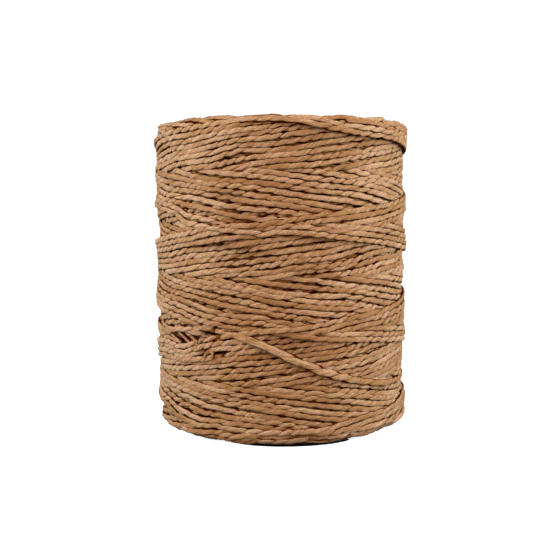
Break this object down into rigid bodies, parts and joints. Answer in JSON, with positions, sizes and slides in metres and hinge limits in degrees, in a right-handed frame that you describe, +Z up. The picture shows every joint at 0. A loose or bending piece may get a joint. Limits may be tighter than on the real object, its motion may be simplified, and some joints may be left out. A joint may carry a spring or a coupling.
{
  "type": "roll of paper raffia yarn",
  "caption": "Upright cross-wound roll of twisted two-ply paper yarn with a winding hole, its last turn lying loose around it and its cut end tucked in.",
  "frame": {"origin": "centre of the roll's base, on the surface it stands on", "axes": "+Z up along the winding hole; -Y is the front, where the loose end crosses the roll"},
  "size_m": [0.0861, 0.0882, 0.103],
  "materials": {
    "raffia_yarn": "matt twisted paper, natural tan, fine creases along the plies",
    "raffia_loose_end": "matt paper, natural tan, flatter and less tightly twisted"
  },
  "bodies": {
    "root": {"wound_roll": "raffia_yarn", "loose_end": "raffia_loose_end"}
  },
  "joints": []
}
